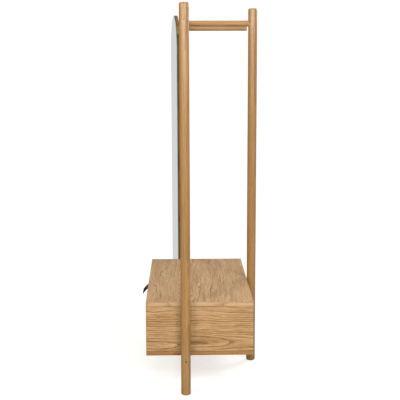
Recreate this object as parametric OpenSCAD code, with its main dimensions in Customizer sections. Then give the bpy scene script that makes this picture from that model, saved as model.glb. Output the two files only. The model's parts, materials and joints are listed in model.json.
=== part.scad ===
// Valet stand: three round oak posts, a low drawer case between them, a T-shaped
// rail at the top and a tall arched mirror that swings on the left front post.
// Millimetres. +Z is up, the user stands on the -Y side and +X is to their right.
// The origin is on the floor, at the centre of the rear foot.

/* [Frame] */
// Height of the posts above the floor
stand_h = 1600; // [1500:1:1700]
// Diameter of each post
post_d = 40; // [38:1:46]
// Distance between the two front posts, centre to centre
post_gap = 840; // [760:1:900]
// Distance from the front posts' axes back to the rear post's axis
row_gap = 302; // [290:1:340]
// Diameter of the top bars
top_bar_d = 26; // [24:1:28]
// Diameter of the bars that carry the case
low_bar_d = 30; // [28:1:32]
// Height of the top bars' centre line
top_bar_z = 1535; // [1440:1:1540]
// Height of the case's underside
case_z = 162; // [150:1:220]

/* [Hanging peg] */
// Diameter of the hanging peg
peg_d = 20; // [16:1:22]
// Height of the hanging peg's centre line
peg_z = 1528; // [1480:1:1530]
// Length of the peg outside the post
peg_reach = 287; // [200:1:320]

/* [Case] */
// How far the case stands out in front of the front posts' axes
case_overhang = 165; // [150:1:180]
// Height of the case
case_h = 227; // [210:1:260]
// Thickness of the top, bottom and side panels
panel_t = 16; // [15:1:18]
// Thickness of the back panel
back_t = 12; // [10:1:14]

/* [Drawer] */
// Thickness of the drawer front
front_t = 18; // [16:1:20]
// Gap around the inset drawer front
front_gap = 2; // [1.5:0.5:3]
// Thickness of the drawer's sides and back
box_t = 12; // [11:1:13]
// Depth of the drawer box behind its front
box_depth = 396; // [360:1:400]
// Length of the telescopic runners
runner_len = 250; // [240:1:300]

/* [Mirror] */
// Width of the mirror
mirror_w = 340; // [300:1:360]
// Height of the top of the mirror's arch
mirror_top = 1601; // [1590:1:1640]
// Thickness of the mirror glass
glass_t = 4; // [4:1:5]
// Thickness of the oak board behind the glass
board_t = 12; // [12:1:15]
// Angle by which the mirror's free edge stands forward of the stand's front
mirror_lean = 5.5; // [0:0.5:12]

/* [Hidden] */
$fn = 96;

// Frame
post_r = post_d / 2;
side_x = post_gap / 2;
front_y = -row_gap;
post_top_round = 8;
post_foot_round = 3;
seat_depth = 8;
low_bar_z = case_z - low_bar_d / 2;
peg_tenon_d = peg_d - 1;
peg_tenon_len = 14;

// Feet
glide_d = 30;
glide_show = 1.5;
glide_sunk = 2.5;
glide_stem_d = 8;
glide_stem_len = 18;

// Bolts and inserts that join the bars
bolt_d = 5;
bolt_hole_d = 5.5;
bolt_len = 45;
bolt_head_d = 8;
bolt_head_t = 4;
head_room = 0.3;
head_sunk = 5;
tee_head_sunk = 4;
hex_key_d = 3.5;
hex_key_depth = 2.5;
insert_d = 8;
insert_len = 15;

// Case
case_w = post_gap - post_d - 1;
case_x = case_w / 2;
case_front = front_y - case_overhang;
case_back_y = -post_r - 0.5;
case_depth = case_back_y - case_front;
case_top_z = case_z + case_h;
side_z = case_z + panel_t;
side_h = case_h - 2 * panel_t;
inner_x = case_x - panel_t;
dowel_d = 8;
dowel_len = 30;
dowel_in_panel = 10;
dowel_ys = [for (i = [0:2]) case_front + 45 + i * (case_depth - 90) / 2];
wood_screw_d = 4;
wood_screw_head_d = 8;
back_dowel_d = 6;
back_dowel_len = 30;
back_dowel_in_side = 9;
back_dowel_zs = [side_z + 40, side_z + side_h - 40];
fixing_screw_len = 36;
fixing_xs = [-250, 250];
fixing_y = -120;

// Runners
runner_gap = 13;
runner_h = 45;
runner_z = case_z + case_h / 2 - 5;
runner_y = case_front + front_t + 2;
runner_wall = 1.5;
middle_half = 18.2;
inner_half = 14;
middle_x1 = runner_gap - 3.4;
middle_wall = 1.2;
inner_wall = 1.4;
runner_screw_ys = [runner_y + 25, runner_y + runner_len / 2, runner_y + runner_len - 25];
pan_head_d = 7;
pan_head_t = 1.3;
runner_screw_d = 3.5;
case_screw_len = runner_wall + 12;
drawer_screw_len = inner_wall + 10;

// Drawer
front_x = inner_x - front_gap;
front_z = side_z + front_gap;
front_h = side_h - 2 * front_gap;
box_x = inner_x - runner_gap;
box_y = case_front + front_t;
box_z = front_z + 12;
box_h = 155;
floor_t = 6;
groove_depth = 6;
floor_z = box_z + 8;
box_dowel_d = 6;
box_dowel_front = 12;
box_dowel_side = 16;
box_dowel_zs = [box_z + 35, box_z + box_h - 25];
box_screw_zs = [box_z + 40, box_z + box_h - 30];

// Leather pull
pull_w = 60;
pull_t = 3;
slot_w = 62;
slot_h = 5;
slot_z = front_z + front_h - 12;
slot_mid = slot_z + slot_h / 2;
strap_tail = 25;
clamp_t = 2;
clamp_h = 16;
clamp_z = slot_mid - strap_tail + 1;
pull_screw_x = 18;
pull_head_t = 2;
pull_screw_bite = 10;
pull_screw_len = clamp_t + pull_t + pull_screw_bite;

// Mirror, hinged beside the left front post; its own frame has +X running away
// from the post and +Y out of the glass
pivot_x = -side_x - post_r;
pivot_y = front_y - post_r - 5;
pivot_edge = 9;
tape_t = 1;
tape_w = 25;
stack_t = glass_t + tape_t + board_t;
glass_y = stack_t / 2;
board_y = glass_y - glass_t - tape_t;
mirror_bottom = case_z;

// Hinges
hinge_h = 35;
hinge_zs = [225, 1503];
knuckle_r = 7;
base_knuckle_h = 17;
washer_t = 0.8;
pin_d = 6;
pin_bore_d = 6.1;
base_reach = 27;
base_clear = 9;
leaf_t = 3;
leaf_sunk = 1.5;
leaf_len = 86;
leaf_y = -stack_t / 2 - leaf_t + leaf_sunk;
leaf_knuckle_z = base_knuckle_h + washer_t + 0.2;
base_screw_x = 19;
base_screw_zs = [8.5, 26.5];
base_screw_len = 24;
leaf_screw_len = 10;
leaf_screw_spots = [[55, 9], [55, 26], [76, 17.5]];

// Colours
oak = [0.79, 0.62, 0.43];
oak_end = [0.70, 0.53, 0.35];
oak_brown = [0.55, 0.37, 0.22];
beech = [0.86, 0.74, 0.57];
birch = [0.88, 0.79, 0.64];
steel = [0.70, 0.71, 0.72];
dark_steel = [0.33, 0.36, 0.31];
brass = [0.74, 0.60, 0.33];
bronze = [0.38, 0.24, 0.12];
nylon = [0.16, 0.15, 0.14];
leather = [0.10, 0.10, 0.10];
silver = [0.81, 0.82, 0.82];

// ---- Shared shapes ----

// A round bar along X from x0 to x1
module rod_x(x0, x1, y, z, d) {
    translate([x0, y, z]) rotate([0, 90, 0]) cylinder(d = d, h = x1 - x0);
}

// A round bar along Y from y0 to y1
module rod_y(y0, y1, x, z, d) {
    translate([x, y0, z]) rotate([-90, 0, 0]) cylinder(d = d, h = y1 - y0);
}

// A round bar along Z from z0 to z1
module rod_z(z0, z1, x, y, d) {
    translate([x, y, z0]) cylinder(d = d, h = z1 - z0);
}

// A box from its low corner to its high corner
module block(low, high) {
    translate(low) cube(high - low);
}

// A socket-head bolt that points along +Z, with the underside of its head at z = 0
module socket_bolt(length) {
    cylinder(d = bolt_d, h = length);
    difference() {
        translate([0, 0, -bolt_head_t]) cylinder(d = bolt_head_d, h = bolt_head_t);
        translate([0, 0, -bolt_head_t - 1])
            cylinder(d = hex_key_d, h = hex_key_depth + 1, $fn = 6);
    }
}

// A countersunk screw that points along +Z, with the top of its head at z = 0
module wood_screw(length, d, head_d) {
    difference() {
        union() {
            cylinder(d1 = head_d, d2 = d, h = (head_d - d) / 2);
            cylinder(d = d, h = length - d);
            translate([0, 0, length - d]) cylinder(d1 = d, d2 = 0.6, h = d);
        }
        translate([0, 0, -1]) cylinder(d = d * 0.7, h = 1 + d * 0.35, $fn = 6);
    }
}

// The hole that the screw above fills
module wood_screw_hole(length, d, head_d) {
    translate([0, 0, -1]) cylinder(d = head_d, h = 1);
    cylinder(d1 = head_d, d2 = d, h = (head_d - d) / 2);
    cylinder(d = d, h = length - d);
    translate([0, 0, length - d]) cylinder(d1 = d, d2 = 0.6, h = d);
}

// A pan-head screw that points along +Z, with the underside of its head at z = 0
module pan_screw(length) {
    cylinder(d = runner_screw_d, h = length);
    translate([0, 0, -pan_head_t]) cylinder(d = pan_head_d, h = pan_head_t);
}

// ---- Posts, bars and feet ----

// The right half of a post's outline, with a soft top edge and a small foot round
module post_outline() {
    shoulder_z = stand_h - post_top_round;
    foot_z = glide_show + post_foot_round;
    translate([0, foot_z]) square([post_r, shoulder_z - foot_z]);
    translate([0, shoulder_z]) square([post_r - post_top_round, post_top_round]);
    translate([post_r - post_top_round, shoulder_z]) circle(r = post_top_round);
    translate([0, glide_show]) square([post_r - post_foot_round, post_foot_round]);
    translate([post_r - post_foot_round, foot_z]) circle(r = post_foot_round);
}

// A post with its glide's socket cut in the foot
module post_body() {
    difference() {
        rotate_extrude() post_outline();
        cylinder(d = glide_d, h = glide_show + glide_sunk);
        cylinder(d = glide_stem_d, h = glide_show + glide_sunk + glide_stem_len);
    }
}

// Cuts for one bar joint: the bar enters from +Y and its bolt comes in from -Y
module bar_joint_cuts(z, bar_d) {
    rod_y(post_r - seat_depth, post_r + 1, 0, z, bar_d);
    rod_y(-post_r - 1, post_r, 0, z, bolt_hole_d);
    rod_y(-post_r - 1, -post_r + head_sunk, 0, z, bolt_head_d + head_room);
}

module front_post(side) {
    translate([side * side_x, front_y, 0]) difference() {
        post_body();
        rotate([0, 0, side * 90]) {
            bar_joint_cuts(top_bar_z, top_bar_d);
            bar_joint_cuts(low_bar_z, low_bar_d);
        }
    }
}

module left_front_post() {
    color(oak) difference() {
        front_post(-1);
        peg_tenon(past = 1);
        for (z = hinge_zs) hinge_base_screw_holes(z);
    }
}

module right_front_post() {
    color(oak) front_post(1);
}

module rear_post() {
    color(oak) difference() {
        post_body();
        rotate([0, 0, 180]) {
            bar_joint_cuts(top_bar_z, top_bar_d);
            bar_joint_cuts(low_bar_z, low_bar_d);
        }
    }
}

// A bar across the front, bored at its ends for inserts and in the middle for the
// bolt that holds the centre rail
module cross_bar(z, bar_d) {
    bar_end = side_x - post_r + seat_depth;
    difference() {
        rod_x(-bar_end, bar_end, front_y, z, bar_d);
        for (side = [-1, 1]) translate([side * bar_end, front_y, z])
            rotate([0, -side * 90, 0]) insert_hole();
        rod_y(front_y - bar_d, front_y + bar_d, 0, z, bolt_hole_d);
        rod_y(front_y - bar_d, front_y - bar_d / 2 + tee_head_sunk, 0, z, bolt_head_d + head_room);
    }
}

// The socket for an insert, running along +Z from a bar's end, and the bolt's room
module insert_hole() {
    translate([0, 0, -1]) cylinder(d = insert_d, h = insert_len + 1);
    cylinder(d = bolt_hole_d, h = bolt_len - head_sunk);
}

// A rail from the cross bar back to the rear post, with its front end scribed round
module centre_rail(z, bar_d) {
    rail_end = -post_r + seat_depth;
    difference() {
        rod_y(front_y, rail_end, 0, z, bar_d);
        rod_x(-bar_d, bar_d, front_y, z, bar_d);
        translate([0, front_y + bar_d / 2, z]) rotate([-90, 0, 0]) insert_hole();
        translate([0, rail_end, z]) rotate([90, 0, 0]) insert_hole();
    }
}

module top_cross_bar() {
    color(oak) cross_bar(top_bar_z, top_bar_d);
}

module top_centre_rail() {
    color(oak) centre_rail(top_bar_z, top_bar_d);
}

module lower_cross_bar() {
    color(oak) difference() {
        cross_bar(low_bar_z, low_bar_d);
        for (x = fixing_xs) fixing_screw_place(x, front_y) fixing_hole();
    }
}

module lower_centre_rail() {
    color(oak) difference() {
        centre_rail(low_bar_z, low_bar_d);
        fixing_screw_place(0, fixing_y) fixing_hole();
    }
}

// The peg's turned-down end, glued into the post; past runs it on outside the post
module peg_tenon(past = 0) {
    post_back = front_y + post_r;
    rod_y(post_back - peg_tenon_len, post_back + past, -side_x, peg_z, peg_tenon_d);
}

module hanging_peg() {
    color(oak) {
        peg_tenon();
        rod_y(front_y + post_r, front_y + post_r + peg_reach, -side_x, peg_z, peg_d);
    }
}

// The four bolts of the cross bars and the two of the centre rails' rear ends
module frame_bolts() {
    color(dark_steel) for (z = [top_bar_z, low_bar_z]) {
        for (side = [-1, 1])
            translate([side * (side_x + post_r - head_sunk), front_y, z])
                rotate([0, -side * 90, 0]) socket_bolt(bolt_len);
        translate([0, post_r - head_sunk, z]) rotate([90, 0, 0]) socket_bolt(bolt_len);
    }
}

// The bolts that hold each centre rail's front end to its cross bar
module tee_bolts() {
    color(dark_steel) {
        translate([0, front_y - top_bar_d / 2 + tee_head_sunk, top_bar_z])
            rotate([-90, 0, 0]) socket_bolt(bolt_len);
        translate([0, front_y - low_bar_d / 2 + tee_head_sunk, low_bar_z])
            rotate([-90, 0, 0]) socket_bolt(bolt_len);
    }
}

// One threaded insert along +Z
module bar_insert() {
    difference() {
        cylinder(d = insert_d, h = insert_len);
        translate([0, 0, -1]) cylinder(d = bolt_d, h = insert_len + 2);
    }
}

module bar_inserts() {
    bar_end = side_x - post_r + seat_depth;
    color(brass) for (spec = [[top_bar_z, top_bar_d], [low_bar_z, low_bar_d]]) {
        for (side = [-1, 1]) translate([side * bar_end, front_y, spec[0]])
            rotate([0, -side * 90, 0]) bar_insert();
        translate([0, front_y + spec[1] / 2, spec[0]]) rotate([-90, 0, 0]) bar_insert();
        translate([0, -post_r + seat_depth, spec[0]]) rotate([90, 0, 0]) bar_insert();
    }
}

module foot_glides() {
    color(nylon) for (spot = [[-side_x, front_y], [side_x, front_y], [0, 0]])
        translate([spot[0], spot[1], 0]) {
            cylinder(d = glide_d, h = glide_show + glide_sunk);
            cylinder(d = glide_stem_d, h = glide_show + glide_sunk + glide_stem_len);
        }
}

// ---- Case ----

// The twelve dowels that join the top and bottom panels to the sides
module case_dowel_set() {
    for (side = [-1, 1], y = dowel_ys) {
        x = side * (case_x - panel_t / 2);
        rod_z(case_z + panel_t - dowel_in_panel, case_z + panel_t - dowel_in_panel + dowel_len,
            x, y, dowel_d);
        rod_z(case_top_z - panel_t + dowel_in_panel - dowel_len,
            case_top_z - panel_t + dowel_in_panel, x, y, dowel_d);
    }
}

module case_dowels() {
    color(beech) case_dowel_set();
}

module case_top() {
    color(oak) difference() {
        block([-case_x, case_front, case_top_z - panel_t], [case_x, case_back_y, case_top_z]);
        case_dowel_set();
    }
}

module case_bottom() {
    color(oak) difference() {
        block([-case_x, case_front, case_z], [case_x, case_back_y, case_z + panel_t]);
        case_dowel_set();
        for (x = fixing_xs) fixing_screw_place(x, front_y) fixing_hole();
        fixing_screw_place(0, fixing_y) fixing_hole();
    }
}

module case_side(side) {
    difference() {
        translate([side > 0 ? inner_x : -case_x, case_front, side_z])
            cube([panel_t, case_depth, side_h]);
        case_dowel_set();
        back_dowel_set();
        runner_case_screw_places() pan_screw(case_screw_len);
    }
}

module case_side_left() {
    color(oak) case_side(-1);
}

module case_side_right() {
    color(oak) case_side(1);
}

module case_back() {
    color(oak_end) difference() {
        block([-inner_x, case_back_y - back_t, side_z],
            [inner_x, case_back_y, side_z + side_h]);
        back_dowel_set();
    }
}

// The four dowels that join the back panel's ends to the sides
module back_dowel_set() {
    outer_x = inner_x + back_dowel_in_side;
    for (side = [-1, 1], z = back_dowel_zs)
        translate([side * outer_x, case_back_y - back_t / 2, z])
            rotate([0, -side * 90, 0]) cylinder(d = back_dowel_d, h = back_dowel_len);
}

module case_back_dowels() {
    color(beech) back_dowel_set();
}

// Screws up through the lower bars into the case's bottom
module fixing_screw_place(x, y) {
    translate([x, y, low_bar_z - low_bar_d / 2 + 3]) children();
}

module fixing_hole() {
    translate([0, 0, -4]) cylinder(d = wood_screw_head_d, h = 4);
    wood_screw_hole(fixing_screw_len, wood_screw_d, wood_screw_head_d);
}

module case_fixing_screws() {
    color(steel) {
        for (x = fixing_xs) fixing_screw_place(x, front_y)
            wood_screw(fixing_screw_len, wood_screw_d, wood_screw_head_d);
        fixing_screw_place(0, fixing_y)
            wood_screw(fixing_screw_len, wood_screw_d, wood_screw_head_d);
    }
}

// ---- Runners ----

// Places a runner section, drawn with x = 0 on the drawer's side and x growing
// towards the case's side, and runs it along Y
module runner_run(side) {
    translate([side * box_x, runner_y + runner_len, runner_z])
        rotate([90, 0, 0]) mirror([side > 0 ? 0 : 1, 0, 0]) linear_extrude(runner_len) children();
}

// A channel section: a web that starts at web_x, and lips from x0 to x1 whose outer
// faces are half above and half below the middle
module channel(x0, x1, half, web_x, wall) {
    translate([web_x, -half]) square([wall, 2 * half]);
    for (s = [-1, 1]) translate([x0, s > 0 ? half - wall : -half]) square([x1 - x0, wall]);
}

module runner_outer_section() {
    channel(4, runner_gap, runner_h / 2, runner_gap - runner_wall, runner_wall);
}

module runner_middle_section() {
    channel(3, middle_x1, middle_half, middle_x1 - middle_wall, middle_wall);
}

module runner_inner_section() {
    channel(0, 7, inner_half, 0, inner_wall);
}

module runner_outer(side) {
    difference() {
        runner_run(side) runner_outer_section();
        runner_case_screw_places() pan_screw(case_screw_len);
    }
}

module runner_inner(side) {
    difference() {
        runner_run(side) runner_inner_section();
        runner_drawer_screw_places() pan_screw(drawer_screw_len);
    }
}

module runner_outer_left() {
    color(steel) runner_outer(-1);
}

module runner_outer_right() {
    color(steel) runner_outer(1);
}

module runner_middle_left() {
    color(steel) runner_run(-1) runner_middle_section();
}

module runner_middle_right() {
    color(steel) runner_run(1) runner_middle_section();
}

module runner_inner_left() {
    color(steel) runner_inner(-1);
}

module runner_inner_right() {
    color(steel) runner_inner(1);
}

// Screws from the outer member into the case's side
module runner_case_screw_places() {
    for (side = [-1, 1], y = runner_screw_ys)
        translate([side * (inner_x - runner_wall), y, runner_z])
            rotate([0, side * 90, 0]) children();
}

// Screws from the inner member into the drawer's side
module runner_drawer_screw_places() {
    for (side = [-1, 1], y = [runner_screw_ys[0], runner_screw_ys[2]])
        translate([side * (box_x + inner_wall), y, runner_z])
            rotate([0, -side * 90, 0]) children();
}

module runner_case_screws() {
    color(steel) runner_case_screw_places() pan_screw(case_screw_len);
}

module runner_drawer_screws() {
    color(steel) runner_drawer_screw_places() pan_screw(drawer_screw_len);
}

// ---- Drawer ----

module drawer_dowel_set() {
    for (side = [-1, 1], z = box_dowel_zs)
        rod_y(box_y - box_dowel_front, box_y + box_dowel_side,
            side * (box_x - box_t / 2), z, box_dowel_d);
}

module drawer_dowels() {
    color(beech) drawer_dowel_set();
}

module drawer_floor_blank() {
    block([-box_x + box_t - groove_depth, box_y - groove_depth, floor_z],
        [box_x - box_t + groove_depth, box_y + box_depth, floor_z + floor_t]);
}

module drawer_bottom() {
    color(birch) drawer_floor_blank();
}

module drawer_front() {
    color(oak) difference() {
        block([-front_x, case_front, front_z], [front_x, box_y, front_z + front_h]);
        drawer_dowel_set();
        drawer_floor_blank();
        block([-slot_w / 2, case_front - 1, slot_z], [slot_w / 2, box_y + 1, slot_z + slot_h]);
        pull_screw_places() cylinder(d = wood_screw_d, h = pull_screw_len);
    }
}

module drawer_side(side) {
    x0 = side > 0 ? box_x - box_t : -box_x;
    difference() {
        block([x0, box_y, box_z], [x0 + box_t, box_y + box_depth, box_z + box_h]);
        drawer_dowel_set();
        drawer_floor_blank();
        drawer_back_screw_places() wood_screw_hole(35, wood_screw_d, wood_screw_head_d);
        runner_drawer_screw_places() pan_screw(drawer_screw_len);
    }
}

module drawer_side_left() {
    color(birch) drawer_side(-1);
}

module drawer_side_right() {
    color(birch) drawer_side(1);
}

module drawer_back() {
    color(birch) difference() {
        block([-box_x + box_t, box_y + box_depth - box_t, floor_z + floor_t],
            [box_x - box_t, box_y + box_depth, box_z + box_h]);
        drawer_back_screw_places() wood_screw_hole(35, wood_screw_d, wood_screw_head_d);
    }
}

module drawer_back_screw_places() {
    for (side = [-1, 1], z = box_screw_zs)
        translate([side * box_x, box_y + box_depth - box_t / 2, z])
            rotate([0, -side * 90, 0]) children();
}

module drawer_back_screws() {
    color(steel) drawer_back_screw_places() wood_screw(35, wood_screw_d, wood_screw_head_d);
}

// ---- Leather pull ----

// The middle line of the strap in side view: up the inside of the front, out through
// the slot and down in front. x is the distance in front of the drawer front's face
// and y is the height above the middle of the slot.
strap_path = [
    [-front_t - pull_t / 2, -strap_tail], [-front_t - pull_t / 2, 0], [0, 0],
    [6, -5.5], [16, -15], [26, -24.5], [27.5, -31]
];

// The direction of the path at its point i, and the point beside it at s to the left
function path_along(p, i) = p[min(i + 1, len(p) - 1)] - p[max(i - 1, 0)];
function beside(p, i, s) =
    let (along = path_along(p, i)) p[i] + s * [-along.y, along.x] / norm(along);

module strap_section() {
    last = len(strap_path) - 1;
    polygon(concat(
        [for (i = [0:last]) beside(strap_path, i, pull_t / 2)],
        [for (i = [last:-1:0]) beside(strap_path, i, -pull_t / 2)]
    ));
}

module pull_strap() {
    color(leather) difference() {
        translate([pull_w / 2, case_front, slot_mid]) rotate([90, 0, -90])
            linear_extrude(pull_w) strap_section();
        pull_screw_places() cylinder(d = wood_screw_d, h = pull_screw_len);
    }
}

module pull_clamp() {
    color(steel) difference() {
        block([-pull_w / 2, box_y + pull_t, clamp_z],
            [pull_w / 2, box_y + pull_t + clamp_t, clamp_z + clamp_h]);
        pull_screw_places() cylinder(d = wood_screw_d, h = pull_screw_len);
    }
}

// Screws from inside the drawer, through the clamp and the strap into the front
module pull_screw_places() {
    for (x = [-pull_screw_x, pull_screw_x])
        translate([x, box_y + pull_t + clamp_t, clamp_z + clamp_h / 2])
            rotate([90, 0, 0]) children();
}

module pull_screws() {
    color(steel) pull_screw_places() {
        cylinder(d = wood_screw_d, h = pull_screw_len);
        translate([0, 0, -pull_head_t]) cylinder(d = pan_head_d, h = pull_head_t);
    }
}

// ---- Mirror ----

module in_mirror_frame() {
    translate([pivot_x, pivot_y, 0]) rotate([0, 0, 180 + mirror_lean]) children();
}

// The arched outline, standing upright, from depth y down to y - t
module arch_plate(y, t) {
    translate([pivot_edge, y, 0]) rotate([90, 0, 0]) linear_extrude(t) {
        translate([0, mirror_bottom])
            square([mirror_w, mirror_top - mirror_w / 2 - mirror_bottom]);
        translate([mirror_w / 2, mirror_top - mirror_w / 2]) circle(d = mirror_w, $fn = 180);
    }
}

module mirror_glass() {
    color(silver) in_mirror_frame() arch_plate(glass_y, glass_t);
}

// Two long strips of mounting tape between the glass and the board
module mirror_tape() {
    strip_bottom = mirror_bottom + 30;
    strip_top = mirror_top - mirror_w / 2;
    color(nylon) in_mirror_frame() for (x = [pivot_edge + 45, pivot_edge + mirror_w - 70])
        block([x, board_y, strip_bottom], [x + tape_w, board_y + tape_t, strip_top]);
}

module mirror_board() {
    color(oak_brown) in_mirror_frame() difference() {
        arch_plate(board_y, board_t);
        for (z = hinge_zs) {
            block([pivot_edge - 1, leaf_y - 1, z],
                [pivot_edge + leaf_len, leaf_y + leaf_t, z + hinge_h]);
            leaf_screw_places(z) leaf_screw_hole();
        }
    }
}

// ---- Hinges ----

// The fixed half: a saddle screwed to the post, with the lower knuckle on its corner
module hinge_base(z) {
    difference() {
        translate([pivot_x, pivot_y, z]) difference() {
            union() {
                cylinder(r = knuckle_r, h = base_knuckle_h);
                block([0, -knuckle_r, 0], [base_reach, base_clear, base_knuckle_h]);
                block([base_clear, -knuckle_r, 0], [base_reach, base_clear, hinge_h]);
            }
            translate([0, 0, 2]) cylinder(d = pin_d, h = hinge_h);
        }
        rod_z(z - 1, z + hinge_h + 1, -side_x, front_y, post_d);
        hinge_base_screw_holes(z);
    }
}

module hinge_base_screw_places(z) {
    for (dz = base_screw_zs)
        translate([pivot_x + base_screw_x, pivot_y - knuckle_r, z + dz])
            rotate([-90, 0, 0]) children();
}

module hinge_base_screw_holes(z) {
    hinge_base_screw_places(z)
        wood_screw_hole(base_screw_len, wood_screw_d, wood_screw_head_d);
}

module hinge_base_upper() {
    color(bronze) hinge_base(hinge_zs[1]);
}

module hinge_base_lower() {
    color(bronze) hinge_base(hinge_zs[0]);
}

module hinge_base_screws() {
    color(bronze) for (z = hinge_zs) hinge_base_screw_places(z)
        wood_screw(base_screw_len, wood_screw_d, wood_screw_head_d);
}

module hinge_pins() {
    color(steel) for (z = hinge_zs)
        rod_z(z + 2, z + hinge_h - 3, pivot_x, pivot_y, pin_d);
}

module hinge_washers() {
    color(nylon) for (z = hinge_zs) translate([pivot_x, pivot_y, z + base_knuckle_h])
        difference() {
            cylinder(r = knuckle_r, h = washer_t);
            translate([0, 0, -1]) cylinder(d = pin_d, h = washer_t + 2);
        }
}

// The moving half: the upper knuckle, an arm and a leaf let into the board's back
module hinge_leaf(z) {
    in_mirror_frame() difference() {
        union() {
            rod_z(z + leaf_knuckle_z, z + hinge_h, 0, 0, 2 * knuckle_r);
            block([0, leaf_y, z + leaf_knuckle_z], [pivot_edge, -4, z + hinge_h]);
            block([pivot_edge, leaf_y, z], [pivot_edge + leaf_len, leaf_y + leaf_t, z + hinge_h]);
        }
        rod_z(z, z + hinge_h - 2.5, 0, 0, pin_bore_d);
        leaf_screw_places(z) leaf_screw_hole();
    }
}

module leaf_screw_places(z) {
    for (spot = leaf_screw_spots)
        translate([pivot_edge + spot[0], leaf_y, z + spot[1]]) rotate([-90, 0, 0]) children();
}

module leaf_screw_hole() {
    wood_screw_hole(leaf_screw_len, runner_screw_d, pan_head_d);
}

module hinge_leaf_upper() {
    color(bronze) hinge_leaf(hinge_zs[1]);
}

module hinge_leaf_lower() {
    color(bronze) hinge_leaf(hinge_zs[0]);
}

module hinge_leaf_screws() {
    color(bronze) in_mirror_frame() for (z = hinge_zs)
        leaf_screw_places(z) wood_screw(leaf_screw_len, runner_screw_d, pan_head_d);
}

left_front_post();
right_front_post();
rear_post();
top_cross_bar();
top_centre_rail();
lower_cross_bar();
lower_centre_rail();
hanging_peg();
frame_bolts();
tee_bolts();
bar_inserts();
foot_glides();
case_top();
case_bottom();
case_side_left();
case_side_right();
case_back();
case_dowels();
case_back_dowels();
case_fixing_screws();
runner_outer_left();
runner_outer_right();
runner_middle_left();
runner_middle_right();
runner_inner_left();
runner_inner_right();
runner_case_screws();
runner_drawer_screws();
drawer_front();
drawer_side_left();
drawer_side_right();
drawer_back();
drawer_bottom();
drawer_dowels();
drawer_back_screws();
pull_strap();
pull_clamp();
pull_screws();
mirror_glass();
mirror_tape();
mirror_board();
hinge_base_upper();
hinge_base_lower();
hinge_leaf_upper();
hinge_leaf_lower();
hinge_pins();
hinge_washers();
hinge_base_screws();
hinge_leaf_screws();
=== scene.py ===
"""The looks of the valet stand: oiled oak, a silvered arch mirror, a black leather pull."""
import json
import math

import bmesh
import bpy
from mathutils import Matrix, Vector


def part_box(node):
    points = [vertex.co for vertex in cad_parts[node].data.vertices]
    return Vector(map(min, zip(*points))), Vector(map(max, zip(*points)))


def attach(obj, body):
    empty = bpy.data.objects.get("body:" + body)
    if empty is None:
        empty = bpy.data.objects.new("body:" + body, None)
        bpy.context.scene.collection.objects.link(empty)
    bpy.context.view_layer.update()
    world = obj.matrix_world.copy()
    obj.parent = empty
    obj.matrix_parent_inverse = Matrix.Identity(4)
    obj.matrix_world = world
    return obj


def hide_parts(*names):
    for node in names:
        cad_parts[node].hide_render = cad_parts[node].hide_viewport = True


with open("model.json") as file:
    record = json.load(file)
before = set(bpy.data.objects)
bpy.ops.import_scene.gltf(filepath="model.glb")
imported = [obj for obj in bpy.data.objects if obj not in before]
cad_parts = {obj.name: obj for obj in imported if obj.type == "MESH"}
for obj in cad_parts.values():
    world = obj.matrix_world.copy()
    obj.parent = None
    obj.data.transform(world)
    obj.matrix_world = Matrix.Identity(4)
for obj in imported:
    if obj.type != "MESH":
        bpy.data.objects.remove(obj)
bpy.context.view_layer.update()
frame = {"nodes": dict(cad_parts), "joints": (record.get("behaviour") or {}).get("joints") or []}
nodes = frame["nodes"]

MM = 0.001

# ---------------------------------------------------------------- measures

# Camera: the photograph's viewpoint, beside the stand and a little above its middle
CAMERA_PLACE = Vector((3.8578, -0.3094, 1.3741))
CAMERA_YAW = math.radians(1.1325)
CAMERA_PITCH = math.radians(9.1397)
CAMERA_ROLL = math.radians(-0.1603)
CAMERA_LENS = 77.82
CAMERA_SENSOR = 36.0

# Mirror pane, in the mirror's own frame: u runs from the hinge pivot along the mirror's
# width and v out of the glass. The start and the front are the pane's nearest u and its
# furthest v. The turn is the angle about the pivot at rest.
PANE_WIDTH = 340 * MM
PANE_THICKNESS = 4 * MM
PANE_START = 9 * MM
PANE_FRONT = 8.5 * MM
PANE_POLISH = 1.2 * MM
PANE_BACK_POLISH = PANE_POLISH * 0.6
MIRROR_TURN = math.radians(5.5)
ARCH_STEPS = 96

# Leather pull: the middle line of the strap, as distance in front of the drawer front's
# face and height above the middle of its slot. It runs out through the slot, folds at
# the free end and comes back underneath.
STRAP_OUT = [
    (-19.5, -25), (-19.5, -14), (-19.5, -3), (-17.0, 0), (-8, 0), (0.3, -0.5), (6.5, -5.2),
    (11.4, -10.2), (16.4, -15.2), (21.3, -20.5), (25.2, -25.7), (26.9, -29.6),
]
STRAP_FOLD = [(26.85, -30.75), (26.1, -31.6), (24.9, -31.65)]
STRAP_BACK = [
    (24.0, -30.9), (22.55, -27.1), (19.05, -22.5), (14.35, -17.5), (9.5, -12.5), (4.9, -7.7),
]
STRAP_WIDTH = 59.6 * MM
STRAP_THICKNESS = 2.6 * MM
STRAP_EDGE = 0.7 * MM
SLOT_BELOW_TOP = 9.5 * MM

# How finely the strap is modelled: curve points from one listed point to the next, and
# faces across its width and round each of its four edges
STRAP_STEPS = 5
STRAP_STEPS_ACROSS = 20
STRAP_EDGE_STEPS = 4

# Its stitches, in two rows. The inset is from the strap's edge to a row's middle, and the
# rows run between two points of the smooth path. Each stitch is a bead with so many steps
# along it and sides round it.
STITCH_INSET = 3.6 * MM
STITCH_LENGTH = 2.9 * MM
STITCH_PITCH = 3.9 * MM
STITCH_RADIUS = 0.42 * MM
STITCH_STEPS = 6
STITCH_SIDES = 8
STITCHED_POINTS = (31, 54)

# Studio: brightness as the camera sees it, as a mirror shows it, and as light on the stand
BACKDROP = (1.05, 0.70, 0.29)
FLOOR_GLOW = (0.70, 0.30, 0.0)

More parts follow.
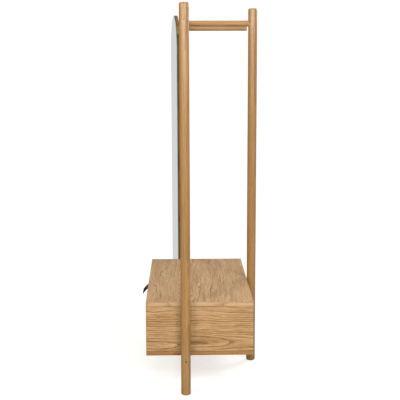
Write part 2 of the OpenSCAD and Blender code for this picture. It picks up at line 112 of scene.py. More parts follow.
# The floor, and the distances between which it turns into the backdrop
FLOOR_HALF_SIZE = 9.0
FLOOR_COLOUR = (0.50, 0.49, 0.48)
FLOOR_GLOW_TINT = (1, 0.985, 0.965)
FLOOR_FADE_START = 1.3
FLOOR_FADE_END = 3.2

# Soft boxes: name, place, the point it faces, width and height in metres, watts and tint
STAND_MIDDLE = (0, -0.25, 0.9)
WARM_WHITE = (1.0, 0.985, 0.97)
WHITE = (1, 1, 1)
SOFT_BOXES = [
    ("key_left", (2.7, -2.3, 2.4), STAND_MIDDLE, (0.6, 1.0), 63, WARM_WHITE),
    ("key_right", (2.8, 1.5, 2.3), STAND_MIDDLE, (0.6, 1.0), 52, WARM_WHITE),
    ("front", (3.5, 0.0, 2.05), (0, -0.2, 1.3), (2.4, 0.5), 56, WHITE),
    ("overhead", (-0.4, -0.2, 3.6), (0, -0.2, 0), (2.4, 2.4), 26, WHITE),
    ("back", (-2.4, 2.6, 2.5), STAND_MIDDLE, (1.4, 1.4), 62, WHITE),
]

# ---------------------------------------------------------------- shader helpers


class Shader:
    """A material's node tree, with short calls to add nodes and join them."""

    def __init__(self, name):
        self.material = bpy.data.materials.new(name)
        self.material.use_nodes = True
        self.tree = self.material.node_tree
        self.surface = self.tree.nodes["Principled BSDF"]

    def add(self, kind, **settings):
        node = self.tree.nodes.new(kind)
        for key, value in settings.items():
            setattr(node, key, value)
        return node

    def join(self, source, target):
        self.tree.links.new(source, target)

    def feed(self, socket, value):
        """Sets an input to a number or colour, or joins it to an output."""
        if isinstance(value, bpy.types.NodeSocket):
            self.join(value, socket)
        elif socket.type == "RGBA" and len(value) == 3:
            socket.default_value = (*value, 1.0)
        else:
            socket.default_value = value

    def math(self, operation, a, b=0.0, clamp=False):
        node = self.add("ShaderNodeMath", operation=operation, use_clamp=clamp)
        self.feed(node.inputs[0], a)
        self.feed(node.inputs[1], b)
        return node.outputs[0]

    def vector(self, operation, a, b=(0, 0, 0)):
        node = self.add("ShaderNodeVectorMath", operation=operation)
        self.feed(node.inputs[0], a)
        self.feed(node.inputs[1], b)
        return node.outputs["Value" if operation == "LENGTH" else "Vector"]

    def noise(self, place, scale, detail=3.0, roughness=0.55, colour=False):
        node = self.add("ShaderNodeTexNoise")
        self.feed(node.inputs["Vector"], place)
        node.inputs["Scale"].default_value = scale
        node.inputs["Detail"].default_value = detail
        node.inputs["Roughness"].default_value = roughness
        return node.outputs["Color" if colour else "Fac"]

    def grain_noise(self, place, layer, colour=False):
        """Noise drawn out along Z. A layer is (share of Z kept, scale, detail, roughness)."""
        along, *settings = layer
        return self.noise(self.vector("MULTIPLY", place, (1, 1, along)), *settings, colour=colour)

    def ramp(self, value, *stops):
        """Maps a number through (position, level or colour) stops."""
        node = self.add("ShaderNodeValToRGB")
        self.join(value, node.inputs["Fac"])
        marks = node.color_ramp.elements
        while len(marks) < len(stops):
            marks.new(0.5)
        for mark, (position, level) in zip(marks, stops):
            mark.position = position
            mark.color = (*level, 1) if isinstance(level, tuple) else (level, level, level, 1)
        return node.outputs["Color"]

    def mix(self, share, a, b, blend="MIX"):
        """Mixes two colours, through the Mix node's colour sockets."""
        node = self.add("ShaderNodeMix", data_type="RGBA", blend_type=blend, clamp_factor=True)
        self.feed(node.inputs[0], share)
        self.feed(node.inputs[6], a)
        self.feed(node.inputs[7], b)
        return node.outputs[2]

    def object_place(self):
        return self.add("ShaderNodeTexCoord").outputs["Object"]

    def bump(self, height, depth):
        """Raises the surface by height, where 1 stands for depth in metres."""
        node = self.add("ShaderNodeBump")
        node.inputs["Strength"].default_value = 1.0
        node.inputs["Distance"].default_value = depth
        self.join(height, node.inputs["Height"])
        self.join(node.outputs["Normal"], self.surface.inputs["Normal"])


# ---------------------------------------------------------------- wood

# For each grain direction, the object's axes in the order that puts the grain last
GRAIN_ORDER = {"X": (1, 2, 0), "Y": (2, 0, 1), "Z": (0, 1, 2)}


def tone_set(light, middle, dark):
    """Colours for the palest wood, the usual wood and the early-wood lines."""
    return {"light": light, "middle": middle, "dark": dark}


# Tones of oiled oak: the drawer front and the plain panels, the posts and bars, the case's
# top and sides, the strips on the ends of its top and bottom, and the mirror's board
OAK = tone_set((0.60, 0.385, 0.185), (0.47, 0.265, 0.098), (0.235, 0.105, 0.030))
OAK_GOLD = tone_set((0.405, 0.220, 0.066), (0.325, 0.156, 0.032), (0.160, 0.060, 0.010))
OAK_TOP = tone_set((0.59, 0.395, 0.215), (0.46, 0.272, 0.122), (0.220, 0.103, 0.036))
OAK_SIDE = tone_set((0.510, 0.324, 0.152), (0.395, 0.220, 0.080), (0.190, 0.085, 0.023))
# The top strip: paler oak, with painted sheen in its tone
OAK_PALE_PAINTED_SHEEN = tone_set((0.545, 0.360, 0.192), (0.475, 0.295, 0.142), (0.310, 0.170, 0.067))
# The bottom strip: reddish oak, with painted shade in its darker tone
OAK_RED_PAINTED_SHADE = tone_set((0.395, 0.196, 0.060), (0.312, 0.144, 0.037), (0.175, 0.067, 0.015))
# The mirror's board: the stand's oak, darkened with painted shade
OAK_BOARD_PAINTED_SHADE = tone_set((0.270, 0.120, 0.028), (0.205, 0.083, 0.017), (0.110, 0.038, 0.008))

# Tones of the drawer's box and of the dowels
BIRCH = tone_set((0.72, 0.55, 0.34), (0.64, 0.46, 0.26), (0.46, 0.30, 0.15))

BAND_THICKNESS = 1.2 * MM
# Painted shade along the joints at a panel's top and bottom, partly dark finish held there
SEAM_SHADE_WIDTH = 1.4 * MM
SEAM_SHADE_TONE = (0.30, 0.25, 0.20)

# Layers of the timber, each as (share of the length kept, scale, detail, roughness)
SLOW_WANDER = (0.30, 5.0, 2.0, 0.5)
SMALL_WAVES = (0.32, 42.0, 2.0, 0.55)
BROAD_BANDS = (0.05, 60.0, 2.0, 0.5)
STREAKS = (0.022, 260.0, 3.0, 0.65)
FIBRES = (0.02, 1500.0, 2.0, 0.5)
PORES = (0.055, 1900.0, 1.0, 0.5)

# How dark a year's early wood is at the least, how much more it can be, and the tone
# between the lines
RING_LINE = 0.16
RING_VARIATION = 0.62
GROUND_SHADE = 0.20
WOOD_RELIEF = 0.22 * MM


def grain_place(s, centre, grain, heart, tilt, seed):
    """Coordinates with Z along the grain and the tree's heart on the Z axis, in metres."""
    local = s.vector("SUBTRACT", s.object_place(), tuple(centre))
    split = s.add("ShaderNodeSeparateXYZ")
    s.join(local, split.inputs[0])
    joined = s.add("ShaderNodeCombineXYZ")
    for target, source in enumerate(GRAIN_ORDER[grain]):
        s.join(split.outputs[source], joined.inputs[target])
    mapping = s.add("ShaderNodeMapping")
    s.join(joined.outputs[0], mapping.inputs["Vector"])
    mapping.inputs["Rotation"].default_value = (tilt[0], tilt[1], 0)
    mapping.inputs["Location"].default_value = (heart[0], heart[1], seed)
    return mapping.outputs[0]


def timber(s, place, ring=7 * MM, tones=OAK, gloss=0.44, figure=0.03, wave=0.004,
           contrast=1.0, streaks=1.3):
    """Growth rings round the Z axis, with streaks, fibres and open pores along it.
    Gives the colour, the roughness and the height. ring is the width of a year's growth.
    figure and wave are how far the rings wander slowly and in small waves. All are metres."""
    # The rings wander: slowly over a whole board, and in small waves along the grain
    half = (0.5, 0.5, 0.5)
    slow = s.vector("SUBTRACT", s.grain_noise(place, SLOW_WANDER, colour=True), half)
    waves = s.vector("SUBTRACT", s.grain_noise(place, SMALL_WAVES, colour=True), half)
    wander = s.vector("ADD", s.vector("MULTIPLY", slow, (figure * 2, figure * 2, 0)),
                      s.vector("MULTIPLY", waves, (wave * 2, wave * 2, 0)))
    turned = s.vector("MULTIPLY", s.vector("ADD", place, wander), (1, 1, 0))
    count = s.math("DIVIDE", s.vector("LENGTH", turned), ring)
    season = s.math("FRACT", count)
    year = s.add("ShaderNodeTexWhiteNoise", noise_dimensions="1D")
    s.join(s.math("FLOOR", count), year.inputs["W"])
    year = year.outputs["Value"]

    # Early wood is a thin dark porous line, and the late wood after it pales slowly
    early = s.ramp(season, (0.0, 1.0), (0.12, 0.9), (0.26, 0.32), (0.60, 0.06), (0.93, 0.0),
                   (1.0, 1.0))
    broad = s.grain_noise(place, BROAD_BANDS)
    streak = s.grain_noise(place, STREAKS)
    fibre = s.grain_noise(place, FIBRES)
    # Pores open mostly in the early wood
    pore_gate = s.math("ADD", s.grain_noise(place, PORES), s.math("MULTIPLY", early, 0.08))
    pore = s.ramp(pore_gate, (0.60, 0.0), (0.69, 1.0))

    line = s.math("MULTIPLY", year, RING_VARIATION * contrast)
    shade = s.math("MULTIPLY", early, s.math("ADD", RING_LINE * contrast, line))
    for layer, share in ((broad, 1.0), (streak, streaks), (fibre, 0.4)):
        swing = s.math("SUBTRACT", layer, 0.5)
        shade = s.math("ADD", shade, s.math("MULTIPLY", swing, share * contrast))
    shade = s.math("ADD", shade, GROUND_SHADE, clamp=True)
    colour = s.ramp(shade, (0.0, tones["light"]), (0.42, tones["middle"]), (1.0, tones["dark"]))
    colour = s.mix(s.math("MULTIPLY", pore, 0.5), colour, tones["dark"])

    rough = s.math("ADD", gloss - 0.08, s.math("MULTIPLY", fibre, 0.12))
    rough = s.math("ADD", rough, s.math("MULTIPLY", pore, 0.22), clamp=True)
    height = s.math("SUBTRACT", s.math("MULTIPLY", fibre, 0.35), s.math("MULTIPLY", pore, 0.9))
    height = s.math("SUBTRACT", height, s.math("MULTIPLY", early, 0.25))
    return colour, rough, height


def beyond(s, axis, middle, reach):
    """1 where a point lies further than reach from the middle along one axis, or 0."""
    split = s.add("ShaderNodeSeparateXYZ")
    s.join(s.object_place(), split.inputs[0])
    away = s.math("ABSOLUTE", s.math("SUBTRACT", split.outputs[axis], middle["XYZ".index(axis)]))
    return s.math("GREATER_THAN", away, reach)


def wood_on(node, grain, heart, tilt=(0.012, 0.02), seed=0.0, band=None, seam_shade=False,
            lacquer=0.5, **cut):
    """Puts timber on a CAD node, cut so that the tree's heart passes at heart from its middle.
    band gives the tones of a thin strip glued on the panel's ends, with its grain along Y.
    seam_shade paints shade along the joints at the node's top and bottom, partly dark finish
    held in them. lacquer is how strongly it shines, and cut holds timber's own settings."""
    low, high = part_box(node)
    centre = (low + high) / 2
    half = (high - low) / 2
    s = Shader("wood_" + node)
    colour, rough, height = timber(s, grain_place(s, centre, grain, heart, tilt, seed), **cut)
    if band:
        strip_place = grain_place(s, centre, "Y", (0.02, 0.3), tilt, seed + 1)
        strip_colour, _, strip_height = timber(s, strip_place, tones=band)
        where = beyond(s, "X", centre, half.x - BAND_THICKNESS)
        colour = s.mix(where, colour, strip_colour)
        height = s.mix(where, height, strip_height)
    if seam_shade:
        # Painted shade in the joints at the top and bottom, partly dark finish held there
        seam_shadow = beyond(s, "Z", centre, half.z - SEAM_SHADE_WIDTH)
        colour = s.mix(seam_shadow, colour, s.mix(1.0, colour, SEAM_SHADE_TONE, "MULTIPLY"))
    s.join(colour, s.surface.inputs["Base Color"])
    s.join(rough, s.surface.inputs["Roughness"])
    s.surface.inputs["Specular IOR Level"].default_value = lacquer
    s.bump(height, WOOD_RELIEF)
    dress(nodes[node], s.material)


def dress(piece, *materials):
    """Gives a piece its materials, in the order of its faces' material numbers."""
    slots = piece.data.materials
    for number, material in enumerate(materials):
        if number < len(slots):
            slots[number] = material
        else:
            slots.append(material)


# ---------------------------------------------------------------- other materials

METAL_WEAR = 0.25
FINE_RELIEF = 0.05 * MM

# Painted shade on the mirror's rim towards its crown: the height that it starts at, and
# how much higher it is done
CROWN_SHADE_START = 1.50
CROWN_SHADE_REACH = 0.10


def brushed_metal(name, colour, rough, stretch=(1, 1, 0.05)):
    """Metal with fine brush lines, a few rubbed spots and a slightly uneven sheen. The
    lines run along the axis that stretch makes small."""
    s = Shader(name)
    place = s.object_place()
    brush = s.noise(s.vector("MULTIPLY", place, stretch), 900.0, 3.0, 0.6)
    blotch = s.noise(place, 70.0, 3.0, 0.6)
    tone = s.math("ADD", s.math("MULTIPLY", brush, 0.35), s.math("MULTIPLY", blotch, 0.65))
    dark = tuple(c * (1 - METAL_WEAR) for c in colour)
    s.join(s.ramp(tone, (0.35, dark), (0.65, colour)), s.surface.inputs["Base Color"])
    s.surface.inputs["Metallic"].default_value = 1.0
    s.join(s.math("ADD", rough - 0.1, s.math("MULTIPLY", tone, 0.2)), s.surface.inputs["Roughness"])
    s.bump(brush, 0.04 * MM)
    return s.material


def silvered_glass():
    """The mirror's face: a clean reflection with the faintest unevenness of float glass."""
    s = Shader("silvered_glass")
    sweep = s.noise(s.object_place(), 3.0, 1.0, 0.4)
    s.join(s.ramp(sweep, (0.3, (0.80, 0.825, 0.815)), (0.7, (0.83, 0.85, 0.842))),
           s.surface.inputs["Base Color"])
    s.surface.inputs["Metallic"].default_value = 1.0
    s.surface.inputs["Roughness"].default_value = 0.0
    return s.material


def glass_edge():
    """The polished rim of the pane: green from looking through the glass lengthwise, and with
    painted shade almost black round the crown of the arch, where nothing lights it from behind."""
    s = Shader("glass_edge")
    place = s.object_place()
    split = s.add("ShaderNodeSeparateXYZ")
    s.join(place, split.inputs[0])
    above = s.math("SUBTRACT", split.outputs["Z"], CROWN_SHADE_START)
    crown = s.math("MULTIPLY", above, 1 / CROWN_SHADE_REACH, clamp=True)
    along = s.noise(s.vector("MULTIPLY", place, (1, 1, 0.3)), 26.0, 3.0, 0.6)
    green = s.ramp(along, (0.32, (0.045, 0.125, 0.080)), (0.68, (0.13, 0.27, 0.19)))
    # Painted shade: the rim turns almost black towards the crown
    painted_crown_shade = s.ramp(crown, (0.35, 0.0), (0.95, 1.0))
    s.join(s.mix(painted_crown_shade, green, (0.012, 0.022, 0.016)), s.surface.inputs["Base Color"])
    s.surface.inputs["Roughness"].default_value = 0.22
    s.surface.inputs["Specular IOR Level"].default_value = 0.25
    return s.material


def pull_leather():
    """Black strap leather: pebbled grain, fine creases and a waxed sheen."""
    s = Shader("pull_leather")
    place = s.object_place()
    bend = s.noise(place, 300.0, 2.0, 0.5, colour=True)
    bent = s.vector("ADD", place, s.vector("MULTIPLY", bend, (2 * MM, 2 * MM, 2 * MM)))
    cells = s.add("ShaderNodeTexVoronoi", feature="DISTANCE_TO_EDGE")
    s.join(bent, cells.inputs["Vector"])
    cells.inputs["Scale"].default_value = 950.0
    pebble = s.ramp(cells.outputs["Distance"], (0.0, 0.0), (0.22, 1.0))
    crease = s.noise(s.vector("MULTIPLY", place, (0.4, 1, 1)), 240.0, 4.0, 0.6)
    rub = s.noise(place, 75.0, 3.0, 0.6)
    tone = s.math("MULTIPLY", rub, s.math("ADD", 0.6, s.math("MULTIPLY", pebble, 0.4)))
    s.join(s.ramp(tone, (0.2, (0.003, 0.003, 0.003)), (0.7, (0.011, 0.0105, 0.010))),
           s.surface.inputs["Base Color"])
    rough = s.math("SUBTRACT", 0.66, s.math("MULTIPLY", pebble, 0.16))
    s.join(rough, s.surface.inputs["Roughness"])
    s.surface.inputs["Specular IOR Level"].default_value = 0.22
    height = s.math("ADD", s.math("MULTIPLY", pebble, 0.6), s.math("MULTIPLY", crease, 0.5))
    s.bump(height, 0.18 * MM)
    return s.material


def waxed_thread():
    """Charcoal waxed thread, with its twist showing along each stitch."""
    s = Shader("waxed_thread")
    twist = s.noise(s.vector("MULTIPLY", s.object_place(), (1, 0.3, 0.3)), 3200.0, 1.0, 0.5)
    s.join(s.ramp(twist, (0.35, (0.020, 0.020, 0.019)), (0.65, (0.075, 0.073, 0.070))),
           s.surface.inputs["Base Color"])
    s.surface.inputs["Roughness"].default_value = 0.6
    s.bump(twist, FINE_RELIEF)
    return s.material


def moulded_plastic(name, colour, rough):
    """Moulded nylon or foam with a fine spark-eroded texture."""
    s = Shader(name)
    place = s.object_place()
    spark = s.noise(place, 1400.0, 3.0, 0.6)
    scuff = s.noise(place, 90.0, 3.0, 0.6)
    lighter = tuple(min(1, c * 1.7 + 0.01) for c in colour)
    s.join(s.ramp(scuff, (0.35, colour), (0.75, lighter)), s.surface.inputs["Base Color"])
    uneven = s.math("ADD", rough - 0.08, s.math("MULTIPLY", scuff, 0.16))
    s.join(uneven, s.surface.inputs["Roughness"])
    s.bump(spark, FINE_RELIEF)
    return s.material


# ---------------------------------------------------------------- mesh helpers


def mesh_piece(name, build):
    """A new object whose mesh is filled in by build(bm)."""
    mesh = bpy.data.meshes.new(name)
    bm = bmesh.new()
    build(bm)
    bmesh.ops.recalc_face_normals(bm, faces=bm.faces)
    bm.to_mesh(mesh)
    bm.free()
    piece = bpy.data.objects.new(name, mesh)
    bpy.context.scene.collection.objects.link(piece)
    return piece


WELD_REACH = 0.02 * MM


def soften(piece, width, angle=40.0):
    """Rounds a piece's edges that are sharper than the angle, as sanding does."""
    weld = piece.modifiers.new("weld", "WELD")
    weld.merge_threshold = WELD_REACH
    bevel = piece.modifiers.new("soft_edges", "BEVEL")
    bevel.width = width
    bevel.segments = 3
    bevel.limit_method = "ANGLE"
    bevel.angle_limit = math.radians(angle)
    bevel.harden_normals = True
    bevel.use_clamp_overlap = True


# ---------------------------------------------------------------- oak pieces


def dress_posts_and_bars():
    """Straight-grained golden oak, shinier on the posts than on the bars."""
    post = {"ring": 5 * MM, "figure": 0.006, "wave": 0.0016, "contrast": 0.6, "tones": OAK_GOLD,
            "gloss": 0.34, "lacquer": 1.0}
    bar = {"ring": 4 * MM, "figure": 0.004, "wave": 0.0012, "contrast": 0.6, "tones": OAK_GOLD,
           "lacquer": 0.8}
    wood_on("right_front_post", "Z", (0.034, 0.018), tilt=(0.006, 0.013), seed=1.3, **post)
    wood_on("rear_post", "Z", (0.030, 0.028), tilt=(-0.010, 0.006), seed=4.1, **post)
    wood_on("left_front_post", "Z", (-0.036, 0.021), tilt=(0.011, -0.007), seed=7.7, **post)
    wood_on("top_cross_bar", "X", (0.030, 0.018), seed=2.6, **bar)
    wood_on("top_centre_rail", "Y", (0.024, -0.026), seed=5.2, **bar)
    wood_on("lower_cross_bar", "X", (0.032, -0.020), seed=8.4, **bar)
    wood_on("lower_centre_rail", "Y", (-0.034, 0.015), seed=3.3, **bar)
    wood_on("hanging_peg", "Y", (0.026, 0.021), seed=6.5, **bar)
    soften(nodes["hanging_peg"], 0.8 * MM)


def dress_case():
    """Flat-sawn oak panels, with strips on the ends of the top and the bottom."""
    # The top's end strips: paler oak, with painted sheen
    wood_on("case_top", "X", (0.04, -0.050), tilt=(0.05, 0.02), seed=2.2, ring=8 * MM,
            figure=0.10, wave=0.008, gloss=0.42, tones=OAK_TOP, band=OAK_PALE_PAINTED_SHEEN)
    # The bottom's end strips: reddish oak, darker with painted shade
    wood_on("case_bottom", "X", (-0.08, -0.040), tilt=(0.010, 0.004), seed=9.2, band=OAK_RED_PAINTED_SHADE)
    # The sides carry painted shade along their joints with the top and the bottom
    wood_on("case_side_right", "Y", (0.055, 0.050), tilt=(-0.06, 0.012), seed=5.9, ring=8 * MM,
            figure=0.05, wave=0.004, streaks=1.8, tones=OAK_SIDE, seam_shade=True)
    wood_on("case_side_left", "Y", (0.040, -0.050), tilt=(0.05, 0.010), seed=0.7, ring=8 * MM,
            figure=0.05, wave=0.004, streaks=1.8, tones=OAK_SIDE, seam_shade=True)
    wood_on("case_back", "X", (0.036, 0.05), seed=4.6, ring=8 * MM, figure=0.06)
    for panel in ("case_top", "case_bottom", "case_side_left", "case_side_right", "case_back"):
        soften(nodes[panel], 1.1 * MM)


def dress_drawer():
    """An oak front on a birch box."""
    birch = {"tones": BIRCH, "ring": 7 * MM, "contrast": 0.5}
    wood_on("drawer_front", "X", (0.034, -0.042), tilt=(0.04, 0.005), seed=1.9, ring=8 * MM,
            figure=0.06, wave=0.004)
    soften(nodes["drawer_front"], 1.0 * MM)
    for number, board in enumerate(("drawer_side_left", "drawer_side_right")):
        wood_on(board, "Y", (0.09, 0.05), seed=3.0 + number, **birch)
        soften(nodes[board], 0.7 * MM)
    wood_on("drawer_back", "X", (0.08, 0.06), seed=5.5, **birch)
    wood_on("drawer_bottom", "X", (0.10, 0.05), seed=6.1, **birch)
    soften(nodes["drawer_back"], 0.7 * MM)


def dress_dowels():
    for node, grain in (("case_dowels", "Z"), ("case_back_dowels", "X"), ("drawer_dowels", "Y")):
        wood_on(node, grain, (0.02, 0.02), tones=BIRCH, contrast=0.5)


def dress_mirror_board():
    # Its dark tones are painted shade on the stand's oak
    wood_on("mirror_board", "Z", (0.04, 0.035), tilt=(0.008, 0.012), seed=3.8, tones=OAK_BOARD_PAINTED_SHADE,
            gloss=0.62)
    soften(nodes["mirror_board"], 0.8 * MM)


# ---------------------------------------------------------------- mirror pane


def arch_outline(inset):
    """Points (u, z) round the arch, moved inwards by inset."""
    low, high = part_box("mirror_glass")
    radius = PANE_WIDTH / 2
    middle_u = PANE_START + radius
    spring_z = high.z - radius
    outline = [
        (PANE_START + inset, low.z + inset),
        (PANE_START + PANE_WIDTH - inset, low.z + inset),
    ]
    for step in range(ARCH_STEPS + 1):
        angle = math.pi * step / ARCH_STEPS
        outline.append((middle_u + (radius - inset) * math.cos(angle),
                        spring_z + (radius - inset) * math.sin(angle)))
    return outline


def mirror_frame():
    """Takes the mirror's own (u, v, z) to the stand's frame."""
    joint = next(j for j in frame["joints"] if j["name"] == "mirror_swing")
    pivot = Vector((joint["pos_m"][0], joint["pos_m"][1], 0))
    return Matrix.Translation(pivot) @ Matrix.Rotation(math.pi + MIRROR_TURN, 4, "Z")


def make_mirror_pane():
    """The glass: silvered flat faces, and a rim with a polished slope along each edge."""
    place = mirror_frame()
    back_v = PANE_FRONT - PANE_THICKNESS
    loops_at = [(back_v, PANE_BACK_POLISH), (back_v + PANE_BACK_POLISH, 0),
                (PANE_FRONT - PANE_POLISH, 0), (PANE_FRONT, PANE_POLISH)]

    def build(bm):
        loops = []
        for v, inset in loops_at:
            loops.append([bm.verts.new(place @ Vector((u, v, z))) for u, z in arch_outline(inset)])
        for lower, upper in zip(loops, loops[1:]):
            for i in range(len(lower)):
                j = (i + 1) % len(lower)
                bm.faces.new((lower[i], lower[j], upper[j], upper[i])).material_index = 1
        bm.faces.new(loops[0])
        bm.faces.new(loops[-1])

    pane = mesh_piece("mirror_pane", build)
    dress(pane, silvered_glass(), glass_edge())
    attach(pane, "mirror")
    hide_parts("mirror_glass")


# ---------------------------------------------------------------- leather pull


def smooth_path(points, steps):
    """A Catmull-Rom curve through the points, with so many steps from each to the next."""
    ends = [points[0] * 2 - points[1], *points, points[-1] * 2 - points[-2]]
    curve = []
    for a, b, c, d in zip(ends, ends[1:], ends[2:], ends[3:]):
        for step in range(steps):
            t = step / steps
            curve.append(0.5 * ((2 * b) + (c - a) * t + (2 * a - 5 * b + 4 * c - d) * t ** 2
                                + (3 * b - a - 3 * c + d) * t ** 3))
    return curve + [points[-1]]


def strap_line():
    """The strap's middle line, in the stand's frame."""
    low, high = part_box("drawer_front")
    slot_z = high.z - SLOT_BELOW_TOP
    points = STRAP_OUT + STRAP_FOLD + STRAP_BACK
    places = [Vector((0, low.y - out * MM, slot_z + up * MM)) for out, up in points]
    return smooth_path(places, STRAP_STEPS)


def strap_section():
    """The strap's cross-section as (across, up) pairs, with round burnished edges."""
    flat = STRAP_WIDTH / 2 - STRAP_EDGE
    rise = STRAP_THICKNESS / 2 - STRAP_EDGE
    section = []
    for turn, (side, up) in enumerate(((1, 1), (-1, 1), (-1, -1), (1, -1))):
        for step in range(STRAP_EDGE_STEPS + 1):
            angle = (turn + step / STRAP_EDGE_STEPS) * math.pi / 2
            section.append((side * flat + STRAP_EDGE * math.cos(angle),
                            up * rise + STRAP_EDGE * math.sin(angle)))
        # After the first and third edges come the points across the top and the underside
        if side == up:
            for step in range(1, STRAP_STEPS_ACROSS):
                section.append((side * flat * (1 - 2 * step / STRAP_STEPS_ACROSS),
                                up * STRAP_THICKNESS / 2))
    return section


def make_pull_strap():
    """The strap: its cross-section carried along its middle line, and closed at both ends."""
    path = strap_line()
    section = strap_section()

    def build(bm):
        loops = []
        for i, point in enumerate(path):
            along = (path[min(i + 1, len(path) - 1)] - path[max(i - 1, 0)]).normalized()
            out = Vector((0, -along.z, along.y))
            loops.append([bm.verts.new(point + Vector((x, 0, 0)) + out * up)
                          for x, up in section])
        for near, far in zip(loops, loops[1:]):
            for i in range(len(section)):
                j = (i + 1) % len(section)
                bm.faces.new((near[i], near[j], far[j], far[i]))
        bm.faces.new(loops[0])
        bm.faces.new(loops[-1])

    strap = mesh_piece("leather_pull", build)
    for face in strap.data.polygons:
        face.use_smooth = len(face.vertices) == 4
    dress(strap, pull_leather())
    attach(strap, "drawer")
    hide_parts("pull_strap")


def add_stitch(bm, middle, along, out):
    """One stitch: a short bead of thread, pointed into the leather at both ends."""
    side = along.cross(out)
    rings = []
    for step in range(STITCH_STEPS + 1):
        t = 2 * step / STITCH_STEPS - 1
        swell = math.sqrt(max(0.0, 1 - t * t)) * STITCH_RADIUS
        spine = middle + along * (t * STITCH_LENGTH / 2)
        if swell == 0:
            rings.append([bm.verts.new(spine)])
        else:
            angles = [math.tau * k / STITCH_SIDES for k in range(STITCH_SIDES)]
            rings.append([bm.verts.new(spine + (side * math.cos(a) + out * math.sin(a)) * swell)
                          for a in angles])
    for near, far in zip(rings, rings[1:]):
        for k in range(STITCH_SIDES):
            quad = [near[k % len(near)], near[(k + 1) % len(near)],
                    far[(k + 1) % len(far)], far[k % len(far)]]
            bm.faces.new(list(dict.fromkeys(quad)))


def make_stitches():
    """Two rows of stitches on the strap's outer face, one near each edge."""
    path = strap_line()
    first, last = STITCHED_POINTS

    def build(bm):
        for side in (-1, 1):
            offset = Vector((side * (STRAP_WIDTH / 2 - STITCH_INSET), 0, 0))
            walked = 0.0
            for a, b in zip(path[first:last], path[first + 1:last]):
                along = (b - a).normalized()
                out = Vector((0, along.z, -along.y))
                out = out if out.z > 0 or out.y < 0 else -out
                lift = out * (STRAP_THICKNESS / 2)
                while walked < (b - a).length:
                    add_stitch(bm, a + along * walked + offset + lift, along, out)
                    walked += STITCH_PITCH
                walked -= (b - a).length

    stitches = mesh_piece("pull_stitches", build)
    for face in stitches.data.polygons:
        face.use_smooth = True
    dress(stitches, waxed_thread())
    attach(stitches, "drawer")


# ---------------------------------------------------------------- metal and plastic nodes


def dress_hardware():
    bronze = brushed_metal("dark_bronze", (0.24, 0.125, 0.052), 0.42)
    brass = brushed_metal("antique_brass", (0.22, 0.20, 0.115), 0.42)
    zinc = brushed_metal("zinc_plate", (0.66, 0.67, 0.68), 0.30)
    rolled = brushed_metal("rolled_steel", (0.58, 0.59, 0.61), 0.34, stretch=(1, 0.03, 1))
    turned = brushed_metal("turned_brass", (0.74, 0.56, 0.26), 0.28)
    nylon = moulded_plastic("black_nylon", (0.020, 0.020, 0.020), 0.5)
    foam = moulded_plastic("mounting_foam", (0.05, 0.05, 0.05), 0.8)
    finishes = {
        bronze: ("hinge_base_upper", "hinge_base_lower", "hinge_leaf_upper", "hinge_leaf_lower",
                 "hinge_base_screws", "hinge_leaf_screws"),
        brass: ("frame_bolts", "tee_bolts"),
        zinc: ("case_fixing_screws", "runner_case_screws", "runner_drawer_screws",
               "drawer_back_screws", "pull_clamp", "pull_screws", "hinge_pins"),
        rolled: ("runner_outer_left", "runner_outer_right", "runner_middle_left",
                 "runner_middle_right", "runner_inner_left", "runner_inner_right"),
        turned: ("bar_inserts",),
        nylon: ("foot_glides", "hinge_washers"),
        foam: ("mirror_tape",),
    }
    for finish, names in finishes.items():
        for name in names:
            dress(nodes[name], finish)
    for name in ("hinge_base_upper", "hinge_base_lower", "hinge_leaf_upper", "hinge_leaf_lower"):
        soften(nodes[name], 0.7 * MM, angle=50.0)


# ---------------------------------------------------------------- studio


def by_ray(tree, seen, mirrored, lit):
    """A level that differs for what the camera sees, what a mirror shows and what lights things."""
    path = tree.nodes.new("ShaderNodeLightPath")
    level = lit
    for ray, value in (("Is Singular Ray", mirrored), ("Is Camera Ray", seen)):
        choice = tree.nodes.new("ShaderNodeMix")
        tree.links.new(path.outputs[ray], choice.inputs["Factor"])
        if isinstance(level, bpy.types.NodeSocket):
            tree.links.new(level, choice.inputs["A"])
        else:
            choice.inputs["A"].default_value = level
        choice.inputs["B"].default_value = value
        level = choice.outputs["Result"]
    return level


def make_floor():
    """A pale floor that glows a little to the eye, as a light table does, so shadows stay faint.
    Away from the stand it turns into the backdrop, so that no horizon shows."""
    def build(bm):
        corners = [(-1, -1), (1, -1), (1, 1), (-1, 1)]
        bm.faces.new([bm.verts.new((x * FLOOR_HALF_SIZE, y * FLOOR_HALF_SIZE, 0))
                      for x, y in corners])

    floor = mesh_piece("studio_floor", build)
    s = Shader("studio_white")
    s.surface.inputs["Base Color"].default_value = (*FLOOR_COLOUR, 1)
    s.surface.inputs["Roughness"].default_value = 0.9
    s.surface.inputs["Specular IOR Level"].default_value = 0.1
    s.surface.inputs["Emission Color"].default_value = (*FLOOR_GLOW_TINT, 1)
    away = s.add("ShaderNodeMapRange", interpolation_type="SMOOTHSTEP")
    s.join(s.vector("LENGTH", s.object_place()), away.inputs["Value"])
    away.inputs["From Min"].default_value = FLOOR_FADE_START
    away.inputs["From Max"].default_value = FLOOR_FADE_END
    s.join(by_ray(s.tree, *FLOOR_GLOW), s.surface.inputs["Emission Strength"])
    far = s.add("ShaderNodeEmission")
    s.join(by_ray(s.tree, *BACKDROP), far.inputs["Strength"])
    sweep = s.add("ShaderNodeMixShader")
    s.join(away.outputs["Result"], sweep.inputs["Fac"])
    s.join(s.surface.outputs["BSDF"], sweep.inputs[1])
    s.join(far.outputs["Emission"], sweep.inputs[2])
    s.join(sweep.outputs["Shader"], s.tree.nodes["Material Output"].inputs["Surface"])
    dress(floor, s.material)


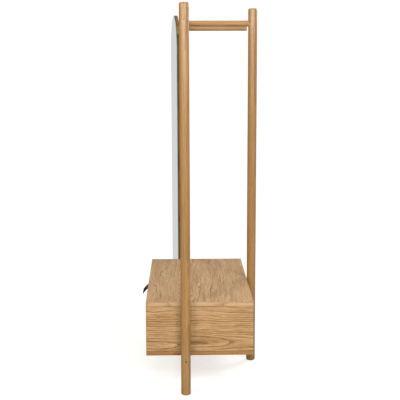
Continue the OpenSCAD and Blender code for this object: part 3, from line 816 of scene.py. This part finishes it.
def soft_light(name, place, target, size, power, colour):
    """A rectangular soft box that faces the target and that the camera doesn't see."""
    data = bpy.data.lights.new(name, "AREA")
    data.shape = "RECTANGLE"
    data.size, data.size_y = size
    data.energy = power
    data.color = colour
    lamp = bpy.data.objects.new(name, data)
    lamp.location = place
    lamp.rotation_euler = (Vector(target) - Vector(place)).to_track_quat("-Z", "Y").to_euler()
    lamp.visible_camera = False
    bpy.context.scene.collection.objects.link(lamp)


def make_studio():
    """A white backdrop, whose light on the stand is weaker than it looks, and soft boxes."""
    world = bpy.data.worlds.new("studio")
    world.use_nodes = True
    tree = world.node_tree
    backdrop = tree.nodes["Background"]
    backdrop.inputs["Color"].default_value = (1, 1, 1, 1)
    tree.links.new(by_ray(tree, *BACKDROP), backdrop.inputs["Strength"])
    bpy.context.scene.world = world
    bpy.context.scene.view_settings.view_transform = "Standard"
    for box in SOFT_BOXES:
        soft_light(*box)


def make_camera():
    """Looks along -X, turned by the yaw and tipped down by the pitch."""
    level = Vector((-math.cos(CAMERA_YAW), math.sin(CAMERA_YAW), 0))
    side = Vector((math.sin(CAMERA_YAW), math.cos(CAMERA_YAW), 0))
    up = Vector((0, 0, 1))
    ahead = math.cos(CAMERA_PITCH) * level - math.sin(CAMERA_PITCH) * up
    tipped = math.cos(CAMERA_PITCH) * up + math.sin(CAMERA_PITCH) * level
    right = math.cos(CAMERA_ROLL) * side + math.sin(CAMERA_ROLL) * tipped
    top = math.cos(CAMERA_ROLL) * tipped - math.sin(CAMERA_ROLL) * side
    data = bpy.data.cameras.new("camera")
    data.lens = CAMERA_LENS
    data.sensor_width = CAMERA_SENSOR
    camera = bpy.data.objects.new("camera", data)
    turn = Matrix((right, top, -ahead)).transposed().to_4x4()
    camera.matrix_world = Matrix.Translation(CAMERA_PLACE) @ turn
    bpy.context.scene.collection.objects.link(camera)
    bpy.context.scene.camera = camera


make_camera()
make_studio()
make_floor()
dress_posts_and_bars()
dress_case()
dress_drawer()
dress_dowels()
dress_mirror_board()
dress_hardware()
make_mirror_pane()
make_pull_strap()
make_stitches()
